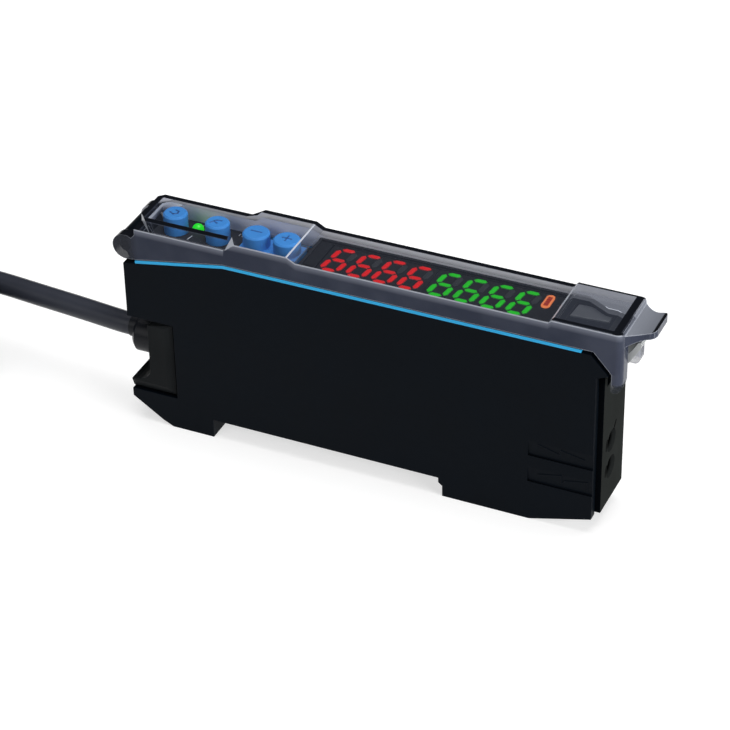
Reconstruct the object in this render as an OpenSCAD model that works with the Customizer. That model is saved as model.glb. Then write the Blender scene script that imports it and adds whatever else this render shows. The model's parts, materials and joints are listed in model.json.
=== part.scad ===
// Fibre optic sensor amplifier for a 35 mm rail.
// X runs along the case from the cable end to the fibre end, Y across its width, Z up from its feet.

/* [Case] */
// Length of the case from its cable end to its fibre end face
case_l = 71.6; // [68:0.2:80]
// Width across the two side faces
case_w = 10; // [9.6:0.1:13]
// Height of the top rim above the feet
rim_h = 29.6; // [28:0.2:34]
// Wall of the tub
wall = 1.2; // [1:0.1:1.3]
// Thickness of the side cover
side_t = 1.4; // [1.2:0.1:1.5]
// Length of the rim that slopes down to the cable end
slope_l = 15.8; // [13:0.2:18]
// Fall of the rim over that length
slope_drop = 2.9; // [2.4:0.1:3.2]
// Reach of the brow past the fibre end face
brow_reach = 0.9; // [0.5:0.1:1.2]
// Height of the brow below the rim
brow_h = 3.5; // [3:0.1:4]

/* [Rail foot] */
// Width of the rail that the foot clips on
rail_w = 35; // [33:0.5:36]
// Play between the rail and the notch
rail_play = 0.2; // [0.1:0.1:0.5]
// Depth of the rail notch
notch_d = 3; // [2.6:0.1:3.4]
// Depth of the groove that each claw hooks with
claw_d = 0.9; // [0.5:0.1:1.2]
// Height of that groove, for the rail's flange
claw_h = 1.2; // [1.1:0.1:1.4]
// Length from the cable end of the case to the notch
toe_l = 12.9; // [12:0.1:14]
// Flat sole in front of the notch
toe_flat = 6.6; // [5:0.1:7]
// Height at which the toe's bevel meets the cable end
toe_rise = 3.9; // [3:0.1:4.4]
// Flat sole behind the notch
heel_flat = 13; // [10:0.2:15]
// Rise of the heel towards the fibre end
heel_rise = 2.5; // [1.5:0.1:2.8]

/* [Cable end] */
// Diameter of the cable
cable_d = 3.3; // [3:0.1:4]
// Height of the cable's axis
cable_z = 12.7; // [11:0.1:13]
// Length of the recess that the cable clamp fills
recess_l = 7.3; // [6.6:0.1:8]
// Height of the recess floor
recess_z = 5.2; // [5:0.1:5.6]
// Height of the recess
recess_h = 12.6; // [12:0.1:13.4]
// Shadow gap round the cable clamp
clamp_gap = 0.35; // [0.2:0.05:0.5]
// Depth of that gap from each side face
clamp_gap_d = 0.7; // [0.4:0.1:1]
// Depth of the clamp's waist from the cable end
waist_d = 3.1; // [2.4:0.1:3.4]
// Width of the clamp's bevel along its edges
clamp_bevel = 1.2; // [0.8:0.1:1.6]
// Diameter of the cable bush
bush_d = 5.6; // [5.4:0.1:6.4]
// Distance of the bush's axis below the cable's axis
bush_drop = 0.9; // [0.4:0.1:1]
// Reach of the bush's collar past the case
collar_reach = 1.1; // [0.8:0.1:1.4]
// Diameter of the bush's neck through the clamp
bush_neck_d = 4.6; // [4.4:0.1:5]
// Reach of the bush's nose past the case
bush_reach = 2; // [1.6:0.1:3]

/* [Dust cover] */
// Wall of the cover
cover_t = 0.8; // [0.6:0.05:0.9]
// Height of the cover's button section above the rim
cover_h = 4.35; // [4.3:0.05:5]
// Drop of the display section below the button section
display_drop = 0.7; // [0.4:0.05:0.8]
// Drop of the lever section below the button section
lever_drop = 0.3; // [0.1:0.05:0.5]
// Height of the bevel along the button section
bevel_h = 1.2; // [0.8:0.1:1.4]
// Width of that bevel
bevel_w = 1.75; // [1.2:0.05:2]
// Length of that bevel from the cover's cable end
bevel_l = 14.2; // [12:0.2:16]
// Half width of the cover's cable end between its two corner cuts
corner_y = 2.5; // [2:0.1:3]
// Radius of the two upright corners at the cover's fibre end
corner_r = 1; // [0.6:0.1:1.2]
// Thickness of the cover's end wall
end_t = 1.4; // [1.1:0.1:1.8]
// Running clearance round the cover
cover_run = 0.4; // [0.3:0.05:0.6]
// Gap between the cover and the trim
cover_gap = 0.1; // [0.05:0.05:0.2]
// How far the end wall's legs hang below the rim
leg_drop = 5.2; // [4.6:0.1:6]
// Length of the finger lip
lip_l = 3.7; // [3:0.1:5]
// Half width of the lip at its tip
lip_tip = 2.7; // [2.4:0.1:4]
// Radius of the hinge ears
ear_r = 1.95; // [1.8:0.05:2.1]
// Radius of the hinge stubs
stub_r = 0.8; // [0.6:0.05:0.9]
// Running clearance of a stub or a pin in its hole
pin_run = 0.05; // [0.03:0.01:0.08]

/* [Panel] */
// Height of the trim strips
trim_t = 0.5; // [0.4:0.05:0.7]
// Thickness of the bezel's flange on the rim
flange_t = 0.4; // [0.3:0.05:0.5]
// Thickness of the bezel's panel
bezel_t = 1.5; // [1.3:0.1:1.7]
// Height of the display frame above the panel
frame_h = 2.2; // [2:0.05:2.3]
// Length from the start of the display frame to its first digit block
display_lead = 3; // [2:0.1:4]
// Length from its last digit block to its end, round the output lamp
display_tail = 3.5; // [3.2:0.1:4.5]
// Thickness of the display window
window_t = 0.3; // [0.2:0.05:0.9]
// Pitch of the digits
digit_pitch = 3.8; // [3.6:0.05:3.8]
// Height of a digit between the centres of its end bars
digit_h = 5.4; // [4.8:0.1:5.6]
// Width of a digit between the centres of its side bars
digit_w = 2.35; // [1.8:0.05:2.4]
// Width of a digit's bars
bar_w = 0.78; // [0.4:0.02:0.8]
// Lean of the digits
lean = 7; // [0:1:12]

/* [Buttons] */
// Diameter of the set and mode buttons
button_d = 3.5; // [3.2:0.1:3.6]
// Height of the buttons above the panel
button_h = 2.9; // [2.4:0.1:2.9]
// Travel of the buttons
button_travel = 0.4; // [0.2:0.05:0.45]
// Distance of the buttons behind the middle of the case
button_y = 1.1; // [0.6:0.1:1.2]
// Diameter of the rocker's two heads
head_d = 3.9; // [3.4:0.1:4]
// Distance between the two heads
head_pitch = 4.7; // [4.4:0.1:4.8]
// Height of the heads above the panel
head_h = 2.7; // [2.4:0.1:2.75]
// Distance from the cable end of the case to the set button
set_in = 5.5; // [5.4:0.1:6]
// Distance between the set and mode buttons
button_pitch = 6.6; // [6:0.1:7]
// Distance from the mode button to the middle of the rocker
rocker_pitch = 8.4; // [7.6:0.1:9]
// Distance from the middle of the rocker to the display frame
frame_gap = 5.6; // [5.2:0.1:6.4]
// Clearance round each button in the panel
button_run = 0.15; // [0.1:0.05:0.2]

/* [Fibre end] */
// Diameter of the fibre ports
port_d = 2.3; // [2.2:0.05:2.5]
// Height of the lower port
port_z = 8.5; // [8:0.1:9]
// Distance between the two ports
port_pitch = 4.4; // [4.2:0.1:5]
// Diameter of each port's mouth
mouth_d = 3.4; // [2.8:0.1:3.6]
// Length of the end block
block_l = 7.4; // [7:0.1:8]
// Thickness of the end block's face plate
face_t = 1.6; // [1.2:0.1:1.8]
// Width of the lock lever
lever_w = 4.6; // [4:0.1:4.8]
// Clearance on each side of the lever
lever_run = 0.3; // [0.2:0.05:0.3]
// Radius of the lever's cam
cam_r = 1.7; // [1.5:0.05:1.8]
// Radius of the lever's pin
lever_pin_r = 0.75; // [0.6:0.05:0.8]

/* [Hidden] */
$fn = 48;

// Fits
seat = 0.05;      // gap where one moulding slides into another
eps = 0.5;        // overshoot of a cutting shape

// Places along X
overall_l = bush_reach + case_l + brow_reach + cover_run + end_t + lip_l;
case_x0 = -overall_l / 2 + bush_reach;
case_x1 = case_x0 + case_l;
kink_x = case_x0 + slope_l;
notch_x0 = case_x0 + toe_l;
notch_x1 = notch_x0 + rail_w + rail_play;
plate_x1 = case_x1 - face_t / 2;     // end of the side cover, short of the face plate's front
shell_x1 = case_x1 - face_t;
block_x0 = case_x1 - block_l;
head_x0 = block_x0 + 0.1;            // start of the head that stands above the rim
brow_x1 = case_x1 + brow_reach;
end_in_x = brow_x1 + cover_run;
end_out_x = end_in_x + end_t;
lip_x1 = end_out_x + lip_l;
hinge_x = case_x0 + 0.5;
bezel_x0 = case_x0 + 2.6;
bezel_x1 = head_x0 - 0.2;
set_x = case_x0 + set_in;
mode_x = set_x + button_pitch;
rocker_x = mode_x + rocker_pitch;
frame_x0 = rocker_x + frame_gap;
frame_l = bezel_x1 - frame_x0;       // the display takes the length that the buttons leave
lamp_x = set_x + 2.8;
lever_in = 4;
lever_x = block_x0 + lever_in;

// Places along Y
hw = case_w / 2;
side_y = -hw + side_t;
back_y = hw - wall;
flange_y = hw - cover_t - seat;
frame_y = flange_y - 0.2;
cover_in_y = hw - cover_t;
boss_y = hw - 1.7;                   // end of the hinge post between the ears
slot_y = lever_w / 2 + lever_run;

// Places along Z
floor_z = notch_d + wall;
recess_top = recess_z + recess_h;
bush_z = cable_z - bush_drop;
brow_z = rim_h - brow_h;
hinge_z = rim_h - 0.1;
panel_z = rim_h + flange_t;
bezel_z = panel_z - bezel_t;
frame_z = panel_z + frame_h;
window_z = frame_z - window_t;
trim_z = rim_h + trim_t;
cover_z = rim_h + cover_h;
display_z = cover_z - display_drop;
lever_z = cover_z - lever_drop;
leg_z = rim_h - leg_drop;
cam_drop = 2.2;
cam_z = rim_h - cam_drop;
slot_z = leg_z - 1;                  // floor of the lever's slot, just below the legs
head_z = lever_z - cover_t - 0.65;
board_t = 1;
board_drop = 3;
board_z = rim_h - board_drop;        // top of the display board
board_low_z = board_z - board_t;
main_board_y = back_y - 0.8;         // far face of the main board, on its bosses
switch_h = 0.6;
dome_z = bezel_z - 0.55 - button_travel;

// Digits
block_gap = 0.1;
block_rim = 0.25;                    // least room from a block's end to its first digit
module_l = (frame_l - display_lead - display_tail - block_gap) / 2;
digit_count = floor((module_l - 2 * block_rim) / digit_pitch + 0.001);
red_x = frame_x0 + display_lead + module_l / 2;
green_x = red_x + module_l + block_gap;
module_z = window_z - 0.1;
block_play = 0.25;                   // room between a block and the side cover
display_y = -side_y - block_play;
opening_y = max(display_y, (digit_h + bar_w) / 2) + seat;
window_rim = 0.2;                    // ledge that the window lies on
frame_end = 0.7;                     // wall of the frame at its fibre end

// Capsule lamp at the end of the second block
capsule_r = 0.6;
capsule_l = 2;                       // length between the middles of its round ends
capsule_rim = 0.15;
output_x = green_x + module_l / 2 + capsule_r + capsule_rim;
output_y = display_y - capsule_l / 2 - capsule_r - capsule_rim;

// Button fittings
lug_r = button_d / 2 + 0.35;
lug_t = 0.5;
lug_z = bezel_z - seat - lug_t;
axle_z = panel_z - bezel_t / 2;
axle_r = 0.45;
rocker_l = head_pitch + head_d + 0.3;
lamp_r = 0.85;
lamp_y = button_y + 1.25;

// Hank of the rest of the cable: two columns of turns, folded in line with the case, with a tie
hank_layers = 5;
lead_layer = 3;                      // layer that the cable runs into
hank_l = 20 * cable_d;               // straight length between the folds
hank_r = 3.5 * cable_d;              // fold radius between the two columns
hank_reach = 39;
hank_x = case_x0 - hank_reach;       // middle of the fold nearer to the case
tie_t = 0.6;
tie_w = 3;
tie_play = 0.15;
tie_head = [4, 4, 2.4];
outer_r = hank_r + cable_d / 2;      // fold radius of the outer column
lead_y = 3;
lead_z = tie_t + (lead_layer + 0.5) * cable_d;
hank_y = lead_y - outer_r;           // the cable runs straight into the outer column
hank_top = tie_t + hank_layers * cable_d;

// Free end of the cable, on the outer column of the near run
tail_l = 9;
tail_x = hank_x - hank_l + tail_l;
tail_y = hank_y - outer_r;
tail_z = hank_top - cable_d / 2;
core_d = 1.1;
core_l = 7;

// Cable route from the bush to the hank: distance from the bush, then parts of the drift and the climb
exit = [case_x0 - bush_reach, 0, cable_z];
route = [
    for (q = [[0, 0, 0], [1.5, 0, 0], [5, 0.12, 0.03], [10, 0.3, 0.1], [17, 0.55, 0.3], [23, 0.77, 0.5],
        [30, 0.92, 0.8], [36, 0.99, 1], [41, 1, 1]])
        exit + [-q.x, q.y * lead_y, q.z * (lead_z - cable_z)]
];
cable_sides = 8;

// Height of the rim at a place along the case
function rim_at(x) = x < kink_x ? rim_h - slope_drop * (kink_x - x) / slope_l : rim_h;

// Height of the sole at a place behind the heel's flat
heel_x = notch_x1 + rail_play * 3 + heel_flat;
function heel_at(x) = heel_rise * (x - heel_x) / (plate_x1 - heel_x);

// Outline of the case in the XZ plane, cut off at a given end
function case_outline(end_x) = [
    [notch_x0 - toe_flat, 0], [notch_x0, 0], [notch_x0, notch_d], [notch_x1, notch_d],
    [notch_x1, notch_d * 0.75], [notch_x1 + rail_play * 3, notch_d * 0.58],
    [notch_x1 + rail_play * 3, 0], [heel_x, 0], [end_x, heel_at(end_x)], [end_x, brow_z],
    [brow_x1, brow_z + brow_h / 5], [plate_x1 - 0.9, rim_h], [kink_x, rim_h],
    [case_x0, rim_at(case_x0)], [case_x0, recess_top], [case_x0 + recess_l, recess_top],
    [case_x0 + recess_l, recess_z], [case_x0, recess_z], [case_x0, toe_rise],
    [notch_x0 - toe_flat - 1.6, toe_rise / 5]
];

// Extrudes a shape of the XZ plane from one Y to another
module slab(y0, y1) {
    translate([0, y1, 0]) rotate([90, 0, 0]) linear_extrude(y1 - y0) children();
}

// Box between two corners
module box(a, b) {
    translate(a) cube(b - a);
}

// Round bar along Y
module ybar(r, x, z, y0, y1) {
    translate([x, y1, z]) rotate([90, 0, 0]) cylinder(r = r, h = y1 - y0);
}

// Round bar along X
module xbar(r, y, z, x0, x1) {
    translate([x0, y, z]) rotate([0, 90, 0]) cylinder(r = r, h = x1 - x0);
}

// Everything on the side of a plane that its normal points to, within reach
module half_space(p, n, reach = 60) {
    translate(p) rotate([0, acos(n.z / norm(n)), atan2(n.y, n.x)])
        translate([-reach, -reach, 0]) cube([2 * reach, 2 * reach, reach]);
}

// Tub with the far wall, the rail foot, the hinge post and the seats of the two boards
post_r = 1.3;
post_in = 2;         // from an end of the notch to a post of the main board
post_low = 4;        // from the floor to a lower post
post_high = 5;       // from the display board to an upper post
ledge_gap = 4;       // from a ledge of the display board to the end block
module case_body() {
    color("#1c1e21") difference() {
        union() {
            slab(back_y, hw) polygon(case_outline(shell_x1));
            slab(side_y, back_y) difference() {
                polygon(case_outline(shell_x1));
                polygon([
                    [case_x0 + recess_l + wall, floor_z], [brow_x1 + eps, floor_z],
                    [brow_x1 + eps, rim_h + eps], [case_x0 + wall, rim_h + eps],
                    [case_x0 + wall, recess_top + wall], [case_x0 + recess_l + wall, recess_top + wall]
                ]);
            }
            slab(-boss_y, boss_y) polygon([
                [case_x0, brow_z], [case_x0 + wall, brow_z], [hinge_x + ear_r - 0.35, hinge_z],
                [hinge_x - ear_r + 0.35, hinge_z], [case_x0, rim_at(case_x0) + 0.2]
            ]);
            ybar(ear_r - 0.25, hinge_x, hinge_z, -boss_y, boss_y);
            ybar(stub_r, hinge_x, hinge_z, -hw + 0.4, hw - 0.4);
            for (x = [notch_x0 + post_in, notch_x1 - post_in])
                for (z = [floor_z + post_low, board_low_z - post_high])
                    ybar(post_r, x, z, main_board_y, back_y + seat);
            box([notch_x0, main_board_y + 0.2, board_low_z - 1],
                [block_x0 - ledge_gap, back_y + seat, board_low_z]);
        }
        box([notch_x0 - claw_d, side_y - eps, notch_d - claw_h], [notch_x1 + claw_d, back_y, notch_d]);
        xbar(bush_neck_d / 2 + seat, 0, bush_z, case_x0 + recess_l - eps, case_x0 + recess_l + wall + eps);
    }
}

// Flat plate that closes the tub on the near side, with a rib along the tub's floor
ramp_l = 9.4;
ramp_h = 2.5;
ramp_d = 0.25;
ramp_drop = 2.1;     // from a port's axis to the foot of its ramp
module side_cover() {
    color("#191b1e") union() {
        difference() {
            slab(-hw, side_y) polygon(case_outline(plate_x1));
            for (k = [0, 1]) port_ramp(port_z - ramp_drop + k * port_pitch);
        }
        box([notch_x0, side_y - seat, floor_z + seat], [notch_x1, side_y + 0.8, floor_z + 1]);
        box([notch_x0, side_y - seat, board_low_z - 1], [block_x0 - ledge_gap, side_y + 0.6, board_low_z]);
    }
}

// Sunk ramp beside a fibre port, open at the fibre end, deepest along its lower edge
module port_ramp(z) {
    translate([plate_x1 - ramp_l, 0, z]) rotate([90, 0, 90]) linear_extrude(ramp_l + eps)
        polygon([[-hw - eps, ramp_h], [-hw, ramp_h], [-hw + ramp_d, 0], [-hw - eps, 0]]);
}

// Moulded fibre end with its two ports, the face plate and the lever's slot between two cheeks
module end_block() {
    cheek0 = side_y + seat;
    cheek1 = back_y - seat;
    color("#2a2c2f") difference() {
        union() {
            box([block_x0, cheek0, floor_z], [case_x1, cheek1, brow_z + seat]);
            box([shell_x1, cheek0, heel_at(shell_x1) + 0.6], [case_x1, hw, brow_z]);
            box([block_x0, cheek0, brow_z], [brow_x1 - 0.2, cheek1, rim_h + seat]);
            slab(-frame_y, frame_y) polygon([
                [head_x0, rim_h + seat / 2], [brow_x1 - 1.4, rim_h + seat / 2], [brow_x1 - 0.2, rim_h + 0.6],
                [brow_x1 - 0.2, head_z - 1], [brow_x1 - 1.2, head_z], [head_x0, head_z]
            ]);
        }
        slab(-slot_y, slot_y) polygon([
            [lever_x - cam_r - lever_run, slot_z], [brow_x1 + eps, slot_z], [brow_x1 + eps, rim_h + 1.4],
            [lever_x - cam_r - lever_run, rim_h + 1.4]
        ]);
        box([head_x0 + 0.8, -slot_y, head_z - 0.4], [brow_x1 - 1.6, slot_y, head_z + eps]);
        ybar(lever_pin_r, lever_x, cam_z, side_y, back_y);
        for (k = [0, 1]) {
            xbar(port_d / 2, 0, port_z + k * port_pitch, block_x0 - eps, case_x1 + eps);
            translate([case_x1 - 0.6, 0, port_z + k * port_pitch]) rotate([0, 90, 0])
                cylinder(r1 = port_d / 2, r2 = mouth_d / 2, h = 0.6);
        }
        grip_shape(seat);
    }
}

// Plan of the grip's channel in the end block, from the cam down to the lower port
grip_x0 = lever_x - 1.6;
grip_x1 = lever_x;
grip_w = 4.2;
module grip_shape(play) {
    box([grip_x0 - play, -grip_w / 2 - play, port_z + port_d / 2 + 0.1 - play],
        [grip_x1 + play, grip_w / 2 + play, slot_z + eps]);
}

// Rubber fork that the lever's cam presses on both fibres
module fibre_grip() {
    top_z = cam_z - cam_r - pin_run * 2;
    color("#3a3a3a") difference() {
        box([grip_x0, -grip_w / 2, port_z + port_d / 2 + 0.1], [grip_x1, grip_w / 2, top_z]);
        box([grip_x0 - eps, -port_d / 2 - 0.15, port_z + port_pitch - port_d / 2 - 0.15],
            [grip_x1 + eps, port_d / 2 + 0.15, port_z + port_pitch + port_d / 2]);
    }
}

// Block behind the ports that lines up the emitter and the receiver
lens_r = 1.5;
holder_l = 4;
holder_top = 3;      // from the upper port's axis to the top of the holder
aperture_r = 0.9;    // hole that stops the fibre's end
holder_x0 = block_x0 - holder_l;
module optic_holder() {
    color("#202224") difference() {
        box([holder_x0, side_y + seat, floor_z],
            [block_x0, main_board_y - board_t - seat, port_z + port_pitch + holder_top]);
        for (k = [0, 1]) {
            xbar(lens_r + seat, 0, port_z + k * port_pitch, holder_x0 - eps, block_x0 - 1);
            xbar(aperture_r, 0, port_z + k * port_pitch, holder_x0, block_x0 + eps);
        }
    }
}

// Round lensed diode with a flange, seated in the holder from behind
module diode(z) {
    xbar(lens_r, 0, z, holder_x0, block_x0 - 2);
    translate([block_x0 - 2, 0, z]) sphere(r = lens_r * 0.6);
    xbar(lens_r + 0.35, 0, z, holder_x0 - 0.8, holder_x0);
}

module emitter() {
    color("#d8d0c8") diode(port_z + port_pitch);
}

module receiver() {
    color("#303038") diode(port_z);
}

// Finger tab that curves out under the lip, on a round cam
tab_h = 4;           // height of the tab's tip above the pin
module lock_lever() {
    tab_x = end_out_x;
    tip_z = cam_z + tab_h;
    color("#b9bdbd") difference() {
        union() {
            ybar(cam_r, lever_x, cam_z, -lever_w / 2, lever_w / 2);
            slab(-lever_w / 2, lever_w / 2) polygon([
                [lever_x, cam_z + 1.2], [end_in_x - 0.9, cam_z + 0.9], [tab_x - 0.9, cam_z + 1.3],
                [tab_x + 0.2, tip_z - 1.8], [tab_x + 1.2, tip_z - 0.1], [tab_x + 1.6, tip_z],
                [tab_x + 1.8, tip_z - 0.3], [tab_x + 1.55, tip_z - 1], [tab_x + 0.1, cam_z + 0.5],
                [tab_x - 0.4, cam_z + 0.1], [tab_x - 1.6, cam_z - 0.4], [lever_x + 1, cam_z - 1.35],
                [lever_x, cam_z - 1.5]
            ]);
        }
        ybar(lever_pin_r + pin_run, lever_x, cam_z, -hw, hw);
    }
}

// Steel pin of the lever, pressed between the end block's cheeks
module lever_pin() {
    color("#c0c4c8") ybar(lever_pin_r, lever_x, cam_z, side_y + seat, back_y - seat);
}

// Upright board along the far wall
module main_board() {
    color("#1e5a34") box([case_x0 + recess_l + wall + 1, main_board_y - board_t, floor_z],
        [holder_x0 - 1, main_board_y, board_low_z - 0.6]);
}

// Level board under the panel, on the ledges of the two sides
module display_board() {
    color("#1e5a34") box([bezel_x0 + 0.6, side_y + seat, board_low_z], [block_x0 - 1, back_y - seat, board_z]);
}

// Pin header between the two boards
header_l = 12;
header_w = 2.4;
header_h = 2.6;
module board_header() {
    color("#151515") box([red_x - header_l / 2, main_board_y - board_t - header_w, board_low_z - header_h],
        [red_x + header_l / 2, main_board_y - board_t, board_low_z]);
}

// Panel with the button holes, on the rim, with the raised frame of the display
module top_bezel() {
    skirt_y = flange_y - 0.75;
    color("#15171a") difference() {
        union() {
            slab(-flange_y, flange_y) polygon([
                [bezel_x0, rim_at(bezel_x0)], [kink_x, rim_h], [bezel_x1, rim_h],
                [bezel_x1, panel_z], [bezel_x0, panel_z]
            ]);
            box([kink_x, side_y + seat, bezel_z], [bezel_x1, back_y - seat, rim_h + seat]);
            slab(-frame_y, frame_y) polygon([
                [frame_x0, panel_z - seat], [bezel_x1, panel_z - seat], [bezel_x1, frame_z],
                [frame_x0 + 0.6, frame_z], [frame_x0, frame_z - 0.9]
            ]);
        }
        box([bezel_x0 + 0.6, -skirt_y, rim_h - slope_drop - eps], [bezel_x1 - 0.8, skirt_y, bezel_z]);
        for (x = [set_x, mode_x]) translate([x, button_y, bezel_z - eps])
            cylinder(r = button_d / 2 + button_run, h = bezel_t + 2 * eps);
        translate([lamp_x, lamp_y, bezel_z - eps]) cylinder(r = lamp_r + seat, h = bezel_t + 2 * eps);
        box([rocker_x - rocker_l / 2 - 0.3, button_y - head_d / 2 - button_run, bezel_z - eps],
            [rocker_x + rocker_l / 2 + 0.3, button_y + head_d / 2 + button_run, panel_z + eps]);
        ybar(axle_r + pin_run, rocker_x, axle_z, button_y - head_d / 2 - 0.7, button_y + head_d / 2 + 0.7);
        box([red_x - module_l / 2 - window_rim, -opening_y, bezel_z - eps],
            [bezel_x1 - frame_end, opening_y, frame_z + eps]);
        box([frame_x0 + 1, -opening_y - window_rim, window_z],
            [bezel_x1 - frame_end + window_rim, opening_y + window_rim, frame_z + eps]);
    }
}

// Smoked lens in the display frame
module display_window() {
    edge_y = opening_y + window_rim - seat;
    color("#20252c", 0.6) box([frame_x0 + 1 + seat, -edge_y, window_z],
        [bezel_x1 - frame_end + window_rim - seat, edge_y, frame_z]);
}

// Reflector block of the digits
module digit_block(x0, x1) {
    box([x0, -display_y, board_z], [x1, display_y, module_z]);
}

module red_display() {
    color("#2b2b2e") digit_block(red_x - module_l / 2, red_x + module_l / 2);
}

// The second block reaches to the end of the display and holds the output lamp
module green_display() {
    color("#2b2b2e") difference() {
        digit_block(green_x - module_l / 2, bezel_x1 - frame_end - seat);
        translate([0, 0, board_z - eps]) linear_extrude(module_z - board_z + 2 * eps)
            capsule(capsule_r + seat);
    }
}

// Places of the seven bars: x and y in half digits, then whether the bar is upright
BARS = [
    [0, 2, false], [1, 1, true], [1, -1, true], [0, -2, false], [-1, -1, true], [-1, 1, true], [0, 0, false]
];
SIX = [0, 2, 3, 4, 5, 6];
seg_t = 0.08;      // thickness of a bar on its block
bar_gap = 0.2;     // set-back of each bar's point from the corner

// Corners of a bar with pointed ends, leaning with the digit
function bar_points(place) =
    let (h = bar_w / 2, l = (place[2] ? digit_h / 4 : digit_w / 2) - bar_gap,
        c = [place[0] * digit_w / 2, place[1] * digit_h / 4],
        shape = [[-l, 0], [-l + h, h], [l - h, h], [l, 0], [l - h, -h], [-l + h, -h]])
    [for (q = shape) let (v = c + (place[2] ? [-q.y, q.x] : q)) [v.x + v.y * tan(lean), v.y]];

module digits(x, bars) {
    for (d = [0 : digit_count - 1], b = bars)
        translate([x + (d - (digit_count - 1) / 2) * digit_pitch, 0, module_z])
            linear_extrude(seg_t) polygon(bar_points(BARS[b]));
}

module red_segments() {
    color("#e01015") digits(red_x, SIX);
}

module green_segments() {
    color("#20d020") digits(green_x, SIX);
}

module unlit_segments() {
    color("#55585c") union() {
        digits(red_x, [1]);
        digits(green_x, [1]);
    }
}

// Plan of the capsule lamp at the end of the display
module capsule(r) {
    for (k = [-1, 1]) translate([output_x, output_y + k * capsule_l / 2]) circle(r = r);
    translate([output_x - r, output_y - capsule_l / 2]) square([2 * r, capsule_l]);
}

// Orange light pipe, level with the digits
module output_lamp() {
    color("#f08030") translate([0, 0, board_z]) linear_extrude(module_z + seg_t - board_z) capsule(capsule_r);
}

// Green light pipe with a domed end
module status_lamp() {
    color("#20e020") translate([lamp_x, lamp_y, 0]) union() {
        translate([0, 0, board_z + 0.7]) cylinder(r = lamp_r, h = panel_z - board_z - 0.7);
        translate([0, 0, panel_z]) intersection() {
            sphere(r = lamp_r);
            cylinder(r = lamp_r, h = lamp_r);
        }
    }
}

// Light source under the green pipe
module status_source() {
    color("#f0f0e0") box([lamp_x - 0.5, lamp_y - 0.8, board_z], [lamp_x + 0.5, lamp_y + 0.8, board_z + 0.65]);
}

// Round cap with a lug below the panel
module button(x) {
    edge = 0.25;
    translate([x, button_y, 0]) rotate_extrude() polygon([
        [0, lug_z], [lug_r, lug_z], [lug_r, lug_z + lug_t], [button_d / 2, lug_z + lug_t],
        [button_d / 2, panel_z + button_h - edge], [button_d / 2 - edge, panel_z + button_h],
        [0, panel_z + button_h]
    ]);
}

module set_button() {
    color("#2f78c8") button(set_x);
}

module mode_button() {
    color("#2f78c8") button(mode_x);
}

// Two heads on one bar that tilts on a cross axle
module value_rocker() {
    edge = 0.25;
    base_h = 0.6;
    color("#2f78c8") union() {
        box([rocker_x - rocker_l / 2, button_y - head_d / 2, bezel_z - 0.3],
            [rocker_x + rocker_l / 2, button_y + head_d / 2, panel_z + base_h]);
        for (k = [-1, 1]) translate([rocker_x + k * head_pitch / 2, button_y, panel_z]) rotate_extrude()
            polygon([
                [0, 0], [head_d / 2, 0], [head_d / 2, head_h - edge], [head_d / 2 - edge, head_h], [0, head_h]
            ]);
        ybar(axle_r, rocker_x, axle_z, button_y - head_d / 2 - 0.6, button_y + head_d / 2 + 0.6);
    }
}

// Push switch with a dome, on the display board
module push_switch(x) {
    translate([x, button_y, 0]) union() {
        box([-1.7, -1.5, board_z], [1.7, 1.5, board_z + switch_h]);
        translate([0, 0, board_z]) cylinder(r = 0.9, h = dome_z - board_z);
    }
}

module set_switch() {
    color("#c8c8c0") push_switch(set_x);
}

module mode_switch() {
    color("#c8c8c0") push_switch(mode_x);
}

module down_switch() {
    color("#c8c8c0") push_switch(rocker_x - head_pitch / 2);
}

module up_switch() {
    color("#c8c8c0") push_switch(rocker_x + head_pitch / 2);
}

// Outline of the dust cover in the XZ plane, with a round foot on its end wall
cover_x0 = case_x0 + 2.1;
foot_r = 0.9;
step_x = frame_x0 - 0.4;
lever_step_x = bezel_x1 - 0.1;
function cover_low(x) = rim_at(x) + trim_t + cover_gap;
function foot_arc() = [
    for (a = [-90 : 15 : 0]) [end_out_x - foot_r + foot_r * cos(a), leg_z + foot_r + foot_r * sin(a)]
];
cover_outline = concat(
    [[cover_x0, cover_low(cover_x0)], [kink_x, cover_low(kink_x)], [plate_x1 - 0.5, cover_low(kink_x)],
     [end_in_x, brow_z + brow_h / 5 + 0.45], [end_in_x, leg_z]],
    foot_arc(),
    [[end_out_x, lever_z - 0.3], [end_out_x - 0.3, lever_z], [lever_step_x + 0.4, lever_z],
     [lever_step_x, display_z], [step_x + 1.3, display_z], [step_x, cover_z], [cover_x0, cover_z]]
);
cover_hollow = [
    [case_x0 - eps, leg_z - eps], [end_in_x, leg_z - eps], [end_in_x, lever_z - cover_t],
    [lever_step_x + 0.6, lever_z - cover_t], [lever_step_x + 0.2, display_z - cover_t],
    [step_x + 1, display_z - cover_t], [step_x - 0.3, cover_z - cover_t],
    [cover_x0 + cover_t, cover_z - cover_t], [cover_x0 + cover_t, hinge_z + ear_r + 0.4],
    [case_x0 - eps, hinge_z + ear_r + 0.4]
];

// Bevel along one edge of the button section, ending in a three-sided facet, moved inwards by a depth
module bevel_cut(side, depth) {
    facet_x = cover_x0 + bevel_l;
    low = [facet_x, side * hw, cover_z - bevel_h];
    slope = [0, side * bevel_h, bevel_w] / norm([bevel_h, bevel_w]);
    facet = cross([1.5, 0, bevel_h], [0.3, -side * bevel_w, bevel_h]) * -side;
    intersection() {
        half_space(low - slope * depth, slope);
        half_space(low - facet / norm(facet) * depth, facet);
    }
}

// Corner cut across the cover's cable end, above its ears, moved inwards by a depth
module corner_cut(side, depth) {
    slant = [-1, side, 0] / norm([1, 1]);
    intersection() {
        half_space([cover_x0, side * corner_y, cover_z] - slant * depth, slant);
        half_space([cover_x0, 0, cover_z - bevel_h - depth], [0, 0, 1]);
    }
}

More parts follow.
